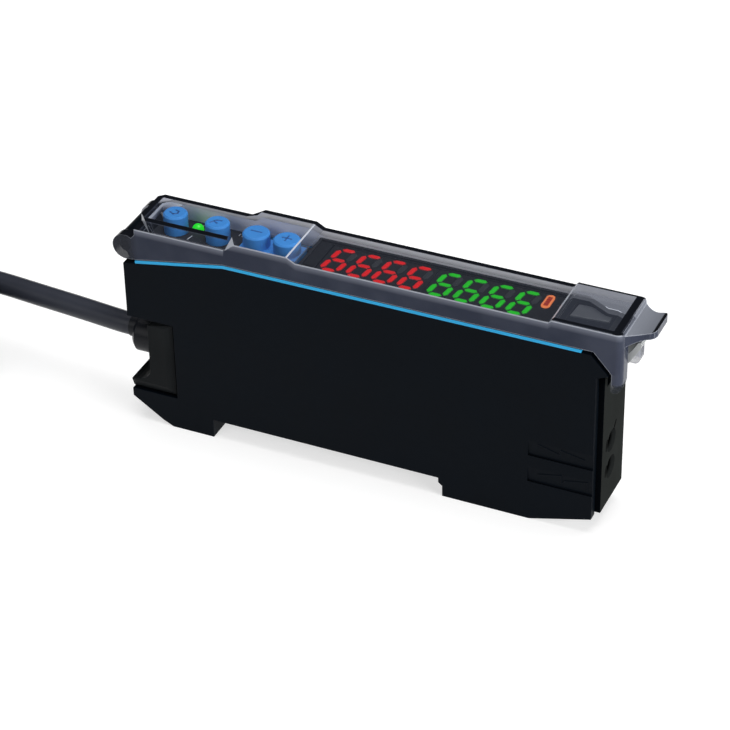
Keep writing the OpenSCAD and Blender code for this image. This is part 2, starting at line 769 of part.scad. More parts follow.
// What rounds an upright corner at the cover's fibre end
module corner_round(side) {
    translate([end_out_x - corner_r, side * (hw - corner_r), leg_z - eps]) difference() {
        translate([0, side < 0 ? -corner_r - eps : 0, 0])
            cube([corner_r + eps, corner_r + eps, cover_z - leg_z + 2 * eps]);
        cylinder(r = corner_r, h = cover_z - leg_z + 2 * eps);
    }
}

// Plan and side view of the finger lip
lip_steps = 8;
lip_r = 0.8;
lip_t = 1.1;         // thickness at the tip
lip_z = lever_z - 0.3;
lip_dip = 0.3;       // hollow for the finger
lip_curl = 0.5;      // rise of the tip
lip_root = hw - corner_r * 0.3;
function lip_half(s) = lip_tip + (lip_root - lip_tip) * pow(1 - s, 2);
lip_edge = [for (k = [0 : lip_steps]) let (s = k / lip_steps)
    [end_out_x - 0.4 + s * (lip_l + 0.4 - lip_r), lip_half(s)]];
lip_tip_edge = [[lip_x1 - lip_r * 0.3, lip_tip - lip_r * 0.3], [lip_x1, lip_tip - lip_r]];
module finger_lip() {
    half = concat(lip_edge, lip_tip_edge);
    back = [for (k = [len(half) - 1 : -1 : 0]) [half[k].x, -half[k].y]];
    top = [for (k = [0 : lip_steps]) let (s = k / lip_steps)
        [end_out_x - 0.4 + s * (lip_l + 0.4), lip_z - lip_dip * sin(180 * s) + lip_curl * s * s]];
    low = [for (k = [lip_steps : -1 : 0]) let (s = k / lip_steps)
        [end_out_x - 0.4 + s * (lip_l + 0.4), lip_z - lip_t - pow(1 - s, 2) + lip_curl * s * s]];
    intersection() {
        linear_extrude(cover_z + eps) polygon(concat(half, back));
        slab(-hw - eps, hw + eps) polygon(concat(top, low));
    }
}

// Clear cover with hinge ears at the cable end, end legs and a finger lip
module dust_cover() {
    color("#5d6872", 0.5) difference() {
        union() {
            difference() {
                slab(-hw, hw) polygon(cover_outline);
                difference() {
                    slab(-cover_in_y, cover_in_y) polygon(cover_hollow);
                    for (side = [-1, 1]) bevel_cut(side, cover_t);
                    for (side = [-1, 1]) corner_cut(side, cover_t);
                }
                for (side = [-1, 1]) bevel_cut(side, 0);
                for (side = [-1, 1]) corner_cut(side, 0);
                for (side = [-1, 1]) corner_round(side);
                box([end_in_x - eps, -slot_y, leg_z - eps], [end_out_x + eps, slot_y, rim_h + 1.6]);
            }
            for (side = [-1, 1]) ear(side);
            finger_lip();
        }
        ybar(stub_r + pin_run, hinge_x, hinge_z, -hw + 0.3, hw - 0.3);
    }
}

// Round hinge ear with a thin neck to the cover's side wall
module ear(side) {
    flank(side, boss_y + 0.15) translate([hinge_x, hinge_z]) circle(r = ear_r);
    flank(side, cover_in_y) polygon([
        [hinge_x, hinge_z - ear_r], [cover_x0 + 0.4, cover_low(cover_x0 + 0.4)],
        [cover_x0 + 0.4, hinge_z + ear_r + 0.8], [hinge_x + 0.9, hinge_z + 1.5]
    ]);
}

// Slab from a given distance off the middle to the side face, on one side
module flank(side, y0) {
    slab(side > 0 ? y0 : -hw, side > 0 ? hw : -y0) children();
}

// Strip along the rim, under the cover
module trim(y0, y1) {
    start_x = case_x0 + 1.9;
    end_x = plate_x1 - 2.2;
    slab(y0, y1) polygon([
        [start_x, rim_at(start_x)], [kink_x, rim_h], [end_x, rim_h], [end_x, trim_z],
        [kink_x, trim_z], [start_x, rim_at(start_x) + trim_t]
    ]);
}

module near_trim() {
    color("#28a0e6") trim(-hw, -cover_in_y);
}

module far_trim() {
    color("#28a0e6") trim(cover_in_y, hw);
}

// Waisted block in the recess, bevelled, with a shadow gap at each side face
module cable_clamp() {
    x1 = case_x0 + recess_l;
    skin_y = hw - clamp_gap_d;
    bevel_y = clamp_gap_d * 0.65;
    color("#191b1e") difference() {
        union() {
            slab(-hw, hw) clamp_shape(clamp_gap);
            slab(-skin_y, skin_y) clamp_shape(0);
        }
        for (side = [-1, 1]) {
            half_space([x1 - clamp_gap, side * (hw - bevel_y), 0], [bevel_y, side * clamp_bevel, 0]);
            half_space([0, side * (hw - bevel_y), recess_z + clamp_gap], [0, side * clamp_bevel, -bevel_y]);
            half_space([0, side * (hw - bevel_y), recess_top - clamp_gap],
                [0, side * clamp_bevel, bevel_y * 2]);
        }
        xbar(bush_neck_d / 2 + seat, 0, bush_z, case_x0, x1 + eps);
    }
}

// Outline of the clamp, set back from the recess by a gap
module clamp_shape(gap_w) {
    x1 = case_x0 + recess_l - gap_w;
    low_z = recess_z + gap_w;
    waist_x = case_x0 + waist_d;
    sweep = [for (a = [0 : 15 : 90]) [waist_x - waist_d * (1 - cos(a)), low_z + 1.4 + 2 * (1 - sin(a))]];
    polygon(concat([[case_x0, low_z], [x1, low_z], [x1, recess_top - clamp_gap], [waist_x, recess_top - 1]],
        sweep));
}

// Strain relief with a nose round the cable, a neck through the clamp and a stop inside the case
module cable_bush() {
    rim = 0.5;
    nose_t = 0.15;
    waist_x = case_x0 + waist_d;
    inner_x = case_x0 + recess_l + wall;
    collar_x = case_x0 - collar_reach;
    color("#141517") union() {
        translate([0, 0, bush_z]) rotate([0, 90, 0]) rotate_extrude() polygon([
            [0, collar_x], [bush_d / 2 - rim, collar_x], [bush_d / 2, collar_x + rim], [bush_d / 2, waist_x],
            [bush_neck_d / 2, waist_x], [bush_neck_d / 2, inner_x + seat],
            [bush_neck_d / 2 + rim, inner_x + seat], [bush_neck_d / 2 + rim, inner_x + 0.8], [0, inner_x + 0.8]
        ]);
        xbar(cable_d / 2 + nose_t, 0, cable_z, case_x0 - bush_reach, case_x0);
    }
}

// Ring of points round a place on the cable, square to its run
function ring(p, t, r) = let (s = cross(t, [0, 0, 1]) / norm(cross(t, [0, 0, 1])), u = cross(s, t))
    [for (k = [0 : cable_sides - 1]) let (a = 360 * (k + 0.5) / cable_sides) p + r * (cos(a) * s + sin(a) * u)];

// Tube swept along a list of points
module tube(points, d) {
    last = len(points) - 1;
    runs = [for (k = [0 : last])
        let (v = points[min(k + 1, last)] - points[max(k - 1, 0)]) v / norm(v)];
    rings = [for (k = [0 : last]) each ring(points[k], runs[k], d / 2)];
    sides = [for (k = [0 : last - 1], j = [0 : cable_sides - 1])
        let (n = (j + 1) % cable_sides, b = k * cable_sides)
        [b + j, b + cable_sides + j, b + cable_sides + n, b + n]];
    polyhedron(rings, concat(sides, [[for (j = [0 : cable_sides - 1]) j],
        [for (j = [cable_sides - 1 : -1 : 0]) last * cable_sides + j]]));
}

module cable() {
    color("#121315") tube(route, cable_d);
}

// Outline of the folded cable, seen from above, at a distance from the middle of its two columns
module hank_outline(offset_r) {
    hull() for (x = [hank_x - hank_l, hank_x]) translate([x, hank_y]) circle(r = hank_r + offset_r);
}

// Outer shape of the folded cable, lying on its tie, with a step where its free end lies
module cable_coil() {
    color("#121315") difference() {
        translate([0, 0, tie_t]) linear_extrude(hank_top - tie_t) difference() {
            hank_outline(cable_d);
            hank_outline(-cable_d);
        }
        box([tail_x - tail_l, hank_y - hank_r - cable_d - eps, hank_top - cable_d - seat],
            [hank_x, hank_y - hank_r + seat, hank_top + eps]);
    }
}

// Strap round both runs of the hank, with its locking head on top
module cable_tie() {
    x = hank_x - hank_l / 2;
    y0 = hank_y - hank_r - cable_d - tie_play;
    y1 = hank_y + hank_r + cable_d + tie_play;
    top_z = hank_top + tie_play;
    color("#16171a") difference() {
        union() {
            box([x - tie_w / 2, y0 - tie_t, 0], [x + tie_w / 2, y1 + tie_t, top_z + tie_t]);
            translate([x - tie_head.x / 2, hank_y - tie_head.y / 2, top_z]) cube(tie_head);
        }
        box([x - tie_w, y0, tie_t], [x + tie_w, y1, top_z]);
    }
}

// Free end of the cable
module cable_tail() {
    color("#121315") xbar(cable_d / 2, tail_y, tail_z, tail_x - tail_l, tail_x);
}

// One stripped core
module core(k) {
    translate([tail_x, tail_y, tail_z]) rotate([0, 90, 0]) rotate(90 * k + 45)
        translate([cable_d / 4, 0, 0]) cylinder(d = core_d, h = core_l, $fn = 16);
}

module core_brown() {
    color("#6b3a1e") core(0);
}

module core_blue() {
    color("#2050c0") core(1);
}

module core_black() {
    color("#181818") core(2);
}

module core_white() {
    color("#e8e8e4") core(3);
}

case_body();
side_cover();
end_block();
optic_holder();
emitter();
receiver();
fibre_grip();
lock_lever();
lever_pin();
main_board();
display_board();
board_header();
top_bezel();
display_window();
red_display();
green_display();
red_segments();
green_segments();
unlit_segments();
output_lamp();
status_lamp();
status_source();
set_button();
mode_button();
value_rocker();
set_switch();
mode_switch();
down_switch();
up_switch();
dust_cover();
near_trim();
far_trim();
cable_clamp();
cable_bush();
cable();
cable_coil();
cable_tie();
cable_tail();
core_brown();
core_blue();
core_black();
core_white();
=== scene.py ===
# %% [markdown]
# # A fibre optic sensor amplifier
# This slim amplifier clips on a mounting rail. Two plastic fibres go in at one end, and two rows of
# digits under a smoked cover show how much light comes back. Its solids are modelled and packed
# already, so this lesson gives them their looks: cable, light, finishes and small moulded marks.

# %% Load the solids
import json
import math

import bmesh
import bpy
from mathutils import Matrix, Vector


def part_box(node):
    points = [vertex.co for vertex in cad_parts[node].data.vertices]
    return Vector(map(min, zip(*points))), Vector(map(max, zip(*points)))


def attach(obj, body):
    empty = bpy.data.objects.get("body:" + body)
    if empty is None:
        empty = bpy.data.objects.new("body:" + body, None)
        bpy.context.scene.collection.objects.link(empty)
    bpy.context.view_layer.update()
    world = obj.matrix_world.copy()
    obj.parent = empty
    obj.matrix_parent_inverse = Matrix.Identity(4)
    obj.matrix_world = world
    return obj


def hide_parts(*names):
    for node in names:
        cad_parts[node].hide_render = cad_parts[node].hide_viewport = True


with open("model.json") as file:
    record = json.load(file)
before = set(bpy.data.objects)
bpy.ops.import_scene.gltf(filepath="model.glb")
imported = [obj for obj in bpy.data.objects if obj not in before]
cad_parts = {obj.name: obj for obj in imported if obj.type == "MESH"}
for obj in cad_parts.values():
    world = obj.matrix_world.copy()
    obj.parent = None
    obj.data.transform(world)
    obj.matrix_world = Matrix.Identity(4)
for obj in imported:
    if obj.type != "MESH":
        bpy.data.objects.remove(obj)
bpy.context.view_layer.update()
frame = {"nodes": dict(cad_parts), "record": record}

MM = 0.001
nodes = frame["nodes"]

# %% [markdown]
# ## The camera
# A product picture like this is taken with a long lens from well above, so that the edges stay almost
# parallel. The camera could be aimed with a constraint, but three directions that are square to each
# other say it more plainly: back to the lens, right and up. A small roll levels the long edges.

# %% Place the camera
azimuth, elevation, roll = math.radians(25.03), math.radians(34.80), math.radians(-1.232)
focal_length, sensor_w, distance = 135.62, 36, 384.7
target, drop = Vector((-3.1, 0, 16)), 0.4984
flat = math.cos(elevation)
back = Vector((math.sin(azimuth) * flat, -math.cos(azimuth) * flat, math.sin(elevation)))
right = Matrix.Rotation(roll, 3, back) @ Vector((math.cos(azimuth), math.sin(azimuth), 0))
up = back.cross(right)
lens = bpy.data.cameras.new("camera")
lens.lens, lens.sensor_width = focal_length, sensor_w
camera = bpy.data.objects.new("camera", lens)
aim = target * MM - up * drop * MM
turn = Matrix((right, up, back)).transposed().to_4x4()
camera.matrix_world = Matrix.Translation(aim + back * distance * MM) @ turn
bpy.context.scene.collection.objects.link(camera)
bpy.context.scene.camera = camera
print("camera at", [round(x, 3) for x in camera.matrix_world.translation])

# %% [markdown]
# ## The cable
# A two-metre round cable leaves the bush, runs to the edge of the picture and is put away there as a
# hank in line with the case, held by a tie. A cable has a fixed length, so its path comes first and
# its thickness is only the bevel of the curve. The run's points are the ones the solid follows.

# %% Points of the straight run
cable_d = 3.3
run = [(-40, 0, 12.7), (-41.5, 0, 12.7), (-45, 0.36, 12.68), (-50, 0.9, 12.65), (-57, 1.65, 12.53),
       (-63, 2.31, 12.42), (-70, 2.76, 12.26), (-76, 2.97, 12.15), (-77, 3, 12.15)]


def rounded(points, steps):
    """The points with a smooth curve through them, a few steps to each gap."""
    p = [Vector(q) for q in points]
    p = [2 * p[0] - p[1], *p, 2 * p[-1] - p[-2]]
    line = []
    for a, b, c, d in zip(p, p[1:], p[2:], p[3:]):
        for k in range(steps):
            t = k / steps
            line.append(0.5 * (2 * b + (c - a) * t + (2 * a - 5 * b + 4 * c - d) * t ** 2
                               + (3 * b - a - 3 * c + d) * t ** 3))
    return line


path = rounded(run, 4)
print("run:", len(path), "points")

# %% [markdown]
# ## The hank
# Each turn of the hank has a place: a column, outer or inner, and a layer. The cable runs into the
# fourth layer of the outer column, goes down, comes up through the inner column and ends on top. It
# could change places all at once, but then turns would meet, so the later turns move a little sooner.
# Each turn counts from 0 to 1: a straight run, a fold, the run back and a second fold.

# %% Turns of the hank
layers, lead = 5, 3
hank_l, hank_x, base, last_l = 66, -77, 0.6, 9
straight, fold, shift = 0.31, 0.19, 0.21
turned, returned = straight + fold, 2 * straight + fold
inner_r, outer_r = 3 * cable_d, 4 * cable_d
hank_y = run[-1][1] - outer_r
places = [(1, k) for k in range(lead, -1, -1)] + [(0, k) for k in range(layers)] + [(1, layers - 1)] * 2
down, across, rise, out = 0.79, 0.72, 0.65, 0.58
moves = [down] * lead + [across] + [rise] * (layers - 1) + [out, 1]


def on_hank(turn):
    """A point of the hank: along the far run, round a fold, back along the near run, round a fold."""
    whole, part = divmod(turn, 1)
    (side0, layer0), (side1, layer1) = places[int(whole):int(whole) + 2]
    moved = min(1, max(0, (part - moves[int(whole)]) / shift))
    moved = (1 - math.cos(math.pi * moved)) / 2
    r = inner_r + cable_d * (side0 + (side1 - side0) * moved)
    z = base + cable_d * (0.5 + layer0 + (layer1 - layer0) * moved)
    if part < straight:
        return Vector((hank_x - hank_l * part / straight, hank_y + r, z))
    if part < turned:
        angle = math.pi * (part - straight) / fold
        return Vector((hank_x - hank_l - r * math.sin(angle), hank_y + r * math.cos(angle), z))
    if part < returned:
        return Vector((hank_x - hank_l * (returned - part) / straight, hank_y - r, z))
    angle = math.pi * (part - returned) / fold
    return Vector((hank_x + r * math.sin(angle), hank_y - r * math.cos(angle), z))


turns, steps = lead + 1 + layers + turned + straight * last_l / hank_l, 64
path += [on_hank(k / steps) for k in range(int(turns * steps) + 1)] + [on_hank(turns)]
length = sum((b - a).length for a, b in zip(path, path[1:])) * MM
print("cable:", len(path), "points,", round(length, 3), "m")

# %% Sheath along the path
sheath = bpy.data.curves.new("cable_sheath", "CURVE")
sheath.dimensions, sheath.bevel_depth, sheath.bevel_resolution = "3D", 1, 5
sheath.use_fill_caps = True
line = sheath.splines.new("POLY")
line.points.add(len(path) - 1)
for point, place in zip(line.points, path):
    point.co, point.radius = (*(place * MM), 1), cable_d / 2 * MM
cable = bpy.data.objects.new("cable_sheath", sheath)
bpy.context.scene.collection.objects.link(cable)
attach(cable, "case")
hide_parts("cable", "cable_coil", "cable_tail")

# %% [markdown]
# ## Sums on sockets
# Finishes are small sums on noise and edge masks. Each sum could be wired by hand, node by node, but
# it reads better as Python, so one class wraps a socket and turns +, - and * into Math nodes. Its
# add() makes any other node: settings first, then the values or links of the sockets.

# %% The wire
class Wire:
    """One socket of a shader tree."""

    def __init__(self, tree, socket=None):
        self.tree, self.socket = tree, socket

    def add(self, kind, settings=None, sockets=None, out=0):
        node = self.tree.nodes.new(kind)
        for name, value in (settings or {}).items():
            setattr(node, name, value)
        for name, value in (sockets or {}).items():
            self.feed(node.inputs[name], value)
        return Wire(self.tree, node.outputs[out])

    def feed(self, target, value):
        if isinstance(value, Wire):
            self.tree.links.new(value.socket, target)
        else:
            target.default_value = value

    def math(self, operation, a, b, clamp=False):
        return self.add("ShaderNodeMath", {"operation": operation, "use_clamp": clamp}, {0: a, 1: b})

    def __add__(self, other):
        return self.math("ADD", self, other)

    def __radd__(self, other):
        return self.math("ADD", other, self)

    def __sub__(self, other):
        return self.math("SUBTRACT", self, other)

    def __rsub__(self, other):
        return self.math("SUBTRACT", other, self)

    def __mul__(self, other):
        return self.math("MULTIPLY", self, other)

    def __rmul__(self, other):
        return self.math("MULTIPLY", other, self)

    def held(self):
        """The value, kept between 0 and 1."""
        return self.math("ADD", self, 0.0, clamp=True)

    def above(self, low, high):
        """0 up to low, 1 from high on, and a straight slope between them."""
        return ((self - low) * (1 / (high - low))).held()

    def xyz(self):
        """The three parts of a vector."""
        return [self.add("ShaderNodeSeparateXYZ", {}, {0: self}, out=k) for k in range(3)]

    def tint(self, low, high):
        """A colour between two colours, by this value."""
        return self.add("ShaderNodeMix", {"data_type": "RGBA"}, {0: self, 6: low, 7: high}, out=2)


print("the wire has", len([n for n in dir(Wire) if not n.startswith("_")]), "plain methods")

# %% [markdown]
# ## Floor, light and backdrop
# The picture is a cut-out on white. Pouring light on the floor until it clips would also wash out the
# part, so the floor is a pale matt plane that glows for the eye alone: camera, glossy and see-through
# rays meet a white floor and a white sky, while the part is lit by three soft lamps and a dim sky.

# %% Floor
def glow(tree):
    """1 for the rays that look, and 0 for the rays that light."""
    seen, mirrored, through = [Wire(tree).add("ShaderNodeLightPath", out=name)
                               for name in ("Is Camera Ray", "Is Glossy Ray", "Is Transmission Ray")]
    return (seen + mirrored + through).held()


floor_half, floor_gap, floor_glow = 3, 0.02, 0.62
floor_paint = bpy.data.materials.new("pale_floor")
floor_paint.use_nodes = True
tree = floor_paint.node_tree
shader = tree.nodes["Principled BSDF"]
shader.inputs["Base Color"].default_value = (0.55, 0.55, 0.55, 1)
shader.inputs["Roughness"].default_value = 0.9
shader.inputs["Specular IOR Level"].default_value = 0.0
shader.inputs["Emission Color"].default_value = (1, 1, 1, 1)
Wire(tree).feed(shader.inputs["Emission Strength"], glow(tree) * floor_glow)
bm = bmesh.new()
bmesh.ops.create_grid(bm, x_segments=2, y_segments=2, size=floor_half)
bmesh.ops.translate(bm, verts=bm.verts, vec=(0, 0, -floor_gap * MM))
plane = bpy.data.meshes.new("floor")
bm.to_mesh(plane)
bm.free()
plane.materials.append(floor_paint)
floor = bpy.data.objects.new("floor", plane)
bpy.context.scene.collection.objects.link(floor)
print("floor of", 2 * floor_half, "by", 2 * floor_half, "m")

# %% Sky and lamps
dim_sky, white_sky = 0.45, 1.0
part_middle = Vector((0, 0, 0.015))
sky = bpy.data.worlds.new("sky")
bpy.context.scene.world = sky
sky.use_nodes = True
tree = sky.node_tree
strength = glow(tree) * (white_sky - dim_sky) + dim_sky
Wire(tree).feed(tree.nodes["Background"].inputs["Strength"], strength)


def lamp(name, place, size, watts):
    """A square soft box, turned to the middle of the part."""
    data = bpy.data.lights.new(name, "AREA")
    data.size, data.energy = size, watts
    box = bpy.data.objects.new(name, data)
    box.location = place
    box.rotation_euler = (part_middle - Vector(place)).to_track_quat("-Z", "Y").to_euler()
    bpy.context.scene.collection.objects.link(box)


lamp("top_box", (0.05, 0.10, 0.75), 0.60, 5.0)
lamp("fibre_end_box", (0.75, -0.22, 0.26), 0.45, 5.0)
lamp("front_box", (-0.35, -0.75, 0.45), 0.60, 2.2)
bpy.context.scene.view_settings.view_transform = "Standard"

# %% [markdown]
# ## Moulded plastic
# Nearly everything here is injection moulded: a satin skin from the spark-eroded mould, edges that are
# a little round, and a paler line along them, partly wear where hands rub them and partly painted
# highlight. Hollows get painted shade. A flat colour would look cut from card. Fine noise gives the skin,
# and the angle between the true face and a rounded normal finds the edges.

# %% The moulded finish
finishes = {}
# The size of the lumps of tone, and how far the painted shade of hollows reaches, in mm.
cloud_size, shade_reach = 9, 2.5


def edges(start, radius):
    """A rounded normal, and a mask that is 1 along the edges."""
    soft = start.add("ShaderNodeBevel", {"samples": 6}, {"Radius": radius * MM}, out="Normal")
    face = start.add("ShaderNodeNewGeometry", out="Normal")
    alike = start.add("ShaderNodeVectorMath", {"operation": "DOT_PRODUCT"}, {0: soft, 1: face}, out="Value")
    return soft, ((1 - alike) * 5).held()


def noise(start, size, detail=2):
    """Even noise whose lumps are about that many millimetres across."""
    place = start.add("ShaderNodeTexCoord", out="Object")
    sockets = {"Vector": place, "Scale": 1 / (size * MM), "Detail": detail}
    return start.add("ShaderNodeTexNoise", {}, sockets, out=0)


def shade(colour, factor):
    """The colour, darker or lighter by a factor, as four numbers."""
    return (*[min(1, c * factor) for c in colour], 1)


def moulded(slot, colour, rough, grain=0.3, depth=0.006, radius=0.12, wear_and_highlight=1.8, deep=0.0, **fixed):
    """A satin plastic: colour, roughness, size and depth of the skin, edges, wear and painted highlight on
    them, painted shade in hollows.
    """
    material = bpy.data.materials.new(slot)
    material.use_nodes = True
    start, shader = Wire(material.node_tree), material.node_tree.nodes["Principled BSDF"]
    skin, cloud = noise(start, grain), noise(start, cloud_size, 4)
    soft, edge = edges(start, radius)
    # Paler edges: partly wear, partly painted highlight.
    tone = (cloud * 0.6 + edge * 0.7).held().tint(shade(colour, 0.86), shade(colour, wear_and_highlight))
    # Painted shade: hollows that an occlusion node finds go dark.
    if deep:
        occlusion = 1 - start.add("ShaderNodeAmbientOcclusion", {"samples": 6, "only_local": True},
                               {"Distance": shade_reach * MM}, out="AO")
        tone = (occlusion.above(0.30, 0.70) * deep).tint(tone, shade(colour, 0.02))
    start.feed(shader.inputs["Base Color"], tone)
    start.feed(shader.inputs["Roughness"], rough + (skin - 0.5) * 0.12 + (cloud - 0.5) * 0.14)
    bump = {"Strength": 0.5, "Distance": depth * MM, "Height": skin, "Normal": soft}
    start.feed(shader.inputs["Normal"], start.add("ShaderNodeBump", {}, bump))
    for name, value in fixed.items():
        shader.inputs[name.replace("_", " ")].default_value = value
    finishes[slot] = material
    return shader


black = {"Specular_IOR_Level": 0.05, "deep": 1.0}
moulded("black_case", (0.0014, 0.0028, 0.0050), 0.50, grain=0.35, depth=0.004, wear_and_highlight=2.2, **black)
moulded("dark_block", (0.0230, 0.0250, 0.0240), 0.60, grain=0.30, depth=0.004, deep=1.0,
        Specular_IOR_Level=0.0)
moulded("clamp_block", (0.0058, 0.0067, 0.0074), 0.45, grain=0.35, depth=0.004, wear_and_highlight=3.5, **black)
moulded("bush_black", (0.0060, 0.0070, 0.0100), 0.35, depth=0.003, wear_and_highlight=2.5, Specular_IOR_Level=0.16)
moulded("black_panel", (0.0140, 0.0155, 0.0200), 0.60, grain=0.22, depth=0.003, Specular_IOR_Level=0.07)
moulded("reflector", (0.0160, 0.0172, 0.0210), 0.70, depth=0.002, Specular_IOR_Level=0.07)
moulded("unlit", (0.0360, 0.0390, 0.0450), 0.55, depth=0.002, Specular_IOR_Level=0.1)
moulded("grey_lever", (0.5200, 0.5400, 0.5400), 0.42, depth=0.003, wear_and_highlight=1.4)
moulded("blue_button", (0.0420, 0.2450, 0.6600), 0.45, depth=0.003, wear_and_highlight=1.4, Specular_IOR_Level=0.25)
moulded("blue_trim", (0.0380, 0.5100, 1.0000), 0.35, depth=0.002, wear_and_highlight=1.1, Specular_IOR_Level=0.2)
moulded("grip_rubber", (0.0300, 0.0300, 0.0300), 0.75, **black)
moulded("board", (0.0150, 0.1000, 0.0400), 0.45)
moulded("clear_resin", (0.7000, 0.6800, 0.6000), 0.18, depth=0.001)
moulded("dark_resin", (0.0200, 0.0150, 0.0250), 0.15, depth=0.001)
moulded("tie_nylon", (0.0100, 0.0105, 0.0120), 0.45, **black)
moulded("cable_black", (0.0270, 0.0300, 0.0410), 0.38, grain=0.5, depth=0.003, Specular_IOR_Level=0.22)
moulded("core_brown", (0.1200, 0.0450, 0.0180), 0.40)
moulded("core_blue", (0.0200, 0.0700, 0.4500), 0.40)
moulded("core_black", (0.0080, 0.0080, 0.0080), 0.40)
moulded("core_white", (0.7600, 0.7600, 0.7300), 0.40)
moulded("pin_steel", (0.5200, 0.5200, 0.5400), 0.30, grain=0.1, depth=0.002, Metallic=1.0)
moulded("switch_metal", (0.5400, 0.5400, 0.5200), 0.35, grain=0.1, depth=0.002, Metallic=1.0)
print("moulded finishes:", len(finishes))

# %% Helpers that take up a finish again
def mended(slot):
    """The start of a finish, its shader, and the colour that it has so far."""
    tree = finishes[slot].node_tree
    shader = tree.nodes["Principled BSDF"]
    return Wire(tree), shader, Wire(tree, shader.inputs["Base Color"].links[0].from_socket)


def where(start):
    """The place in millimetres and the direction of the face."""
    place = start.add("ShaderNodeTexCoord", out="Object")
    return [part * (1 / MM) for part in place.xyz()], start.add("ShaderNodeTexCoord", out="Normal").xyz()


def far_from(start, a, b):
    """The length of two distances at right angles."""
    return start.math("SQRT", a * a + b * b, 0.0)


# %% Painted shade on the end block's side faces and in its ports, in the gap round the clamp and on the trim's top
port_z, port_pitch, port_r, port_rim = 8.5, 4.4, 1.15, 0.25
port_heights = (port_z, port_z + port_pitch)
gap_y = 4.433
start, shader, plain = mended("dark_block")
(_, y, z), (nx, _, _) = where(start)
lower, upper = [1 - far_from(start, y, z - h).above(port_r, port_r + port_rim) for h in port_heights]
ports = lower + upper
# Painted shade: faces of the end block that don't face along +x go darker, and the ports go near black.
tone = nx.above(0.50, 0.80).tint((0.0030, 0.0040, 0.0055, 1), plain)
start.feed(shader.inputs["Base Color"], ports.held().tint(tone, (0.0004, 0.0004, 0.0005, 1)))
rough = Wire(start.tree, shader.inputs["Roughness"].links[0].from_socket)
start.feed(shader.inputs["Roughness"], (rough + ports).held())
start, shader, plain = mended("clamp_block")
(_, y, _), (_, ny, _) = where(start)
# Painted shade: side faces inside the clamp's outline, in the gap round it, go near black.
gap_shade = (ny * ny).above(0.60, 0.80) * (1 - (y * y).above(gap_y ** 2 - 0.25, gap_y ** 2 + 0.25))
start.feed(shader.inputs["Base Color"], gap_shade.tint(plain, (0.0003, 0.0003, 0.0004, 1)))
start, shader, plain = mended("blue_trim")
_, (_, _, nz) = where(start)
# Painted shade: the top faces of the trim, under the cover's wall, go dark blue.
start.feed(shader.inputs["Base Color"], nz.above(0.40, 0.60).tint(plain, (0.0050, 0.0400, 0.0900, 1)))
print("end face, clamp and trim mended")

# %% [markdown]
# ## Light behind plastic
# Lit segments and lamps are coloured plastic with a light behind. An emitting shader alone looks like
# paper, so a glossy plastic keeps its skin and glows, and the glow falls off towards its edges: almost
# to nothing on the digits, which makes their strokes slim, and only a little on the lamps.

# %% The lit finishes
def lit(slot, colour, strength, rim=0.04):
    """A glowing plastic: colour, strength, and how much of the colour is left at its edges."""
    moulded(slot, [c * 0.5 for c in colour], 0.35, depth=0.002)
    start, shader, plain = mended(slot)
    edge = edges(start, 0.15)[1].above(0.10, 0.60)
    start.feed(shader.inputs["Base Color"], edge.tint(plain, shade(colour, rim)))
    glowing = (edge + noise(start, 1.2) * 0.2).held().tint((*colour, 1), shade(colour, rim))
    start.feed(shader.inputs["Emission Color"], glowing)
    shader.inputs["Emission Strength"].default_value = strength


lit("red_light", (0.75, 0.003, 0.005), 0.72)
lit("green_light", (0.008, 0.580, 0.010), 0.66)
lit("orange_light", (0.92, 0.240, 0.075), 0.66, rim=0.8)
lit("green_lamp", (0.006, 0.720, 0.006), 0.70, rim=0.5)
print("lit finishes: red, green, orange and the green lamp")

# %% The red core of the output lamp
core_half_w, core_half_l, hatch_pitch = 0.32, 1.10, 0.55
lamp_low, lamp_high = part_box("output_lamp")
lamp_mid = (lamp_low + lamp_high) / 2
start, shader, plain = mended("orange_light")
ring = Wire(start.tree, shader.inputs["Emission Color"].links[0].from_socket)
x, y, _ = start.add("ShaderNodeTexCoord", out="Object").xyz()
across = start.math("ABSOLUTE", (x - lamp_mid.x) * (1 / MM), 0.0)
along = start.math("ABSOLUTE", (y - lamp_mid.y) * (1 / MM), 0.0)
core = 1 - across.above(core_half_w - 0.04, core_half_w + 0.04)
core = core * (1 - along.above(core_half_l - 0.05, core_half_l + 0.05))
hatch = start.math("SINE", (y - lamp_mid.y) * (2 * math.pi / (hatch_pitch * MM)), 0.0).above(-0.2, 0.2)
dark_core = hatch.tint((0.30, 0.008, 0.004, 1), (0.55, 0.050, 0.012, 1))
start.feed(shader.inputs["Base Color"], core.tint(plain, (0.120, 0.006, 0.003, 1)))
start.feed(shader.inputs["Emission Color"], core.tint(ring, dark_core))
print("core of the output lamp at", [round(v / MM, 2) for v in lamp_mid])

# %% [markdown]
# ## Smoked clear plastic
# The dust cover and the display window are clear plastic with smoke in it. Glass with refraction is the
# true model, but thin mouldings hardly bend the view, so an alpha below one shows what lies behind. The
# cover's walls are looked through lengthwise, so they get dense, and its top stays almost clear. Where
# the top meets a wall, light is turned away from the eye: a black rim of painted shade, with a painted
# highlight along the edge. Other edges, facets and ridges get painted highlights too, and the inner
# faces of the walls get painted light.
# Each of these is a mask on the place and the direction of the face, in the part's own millimetres.

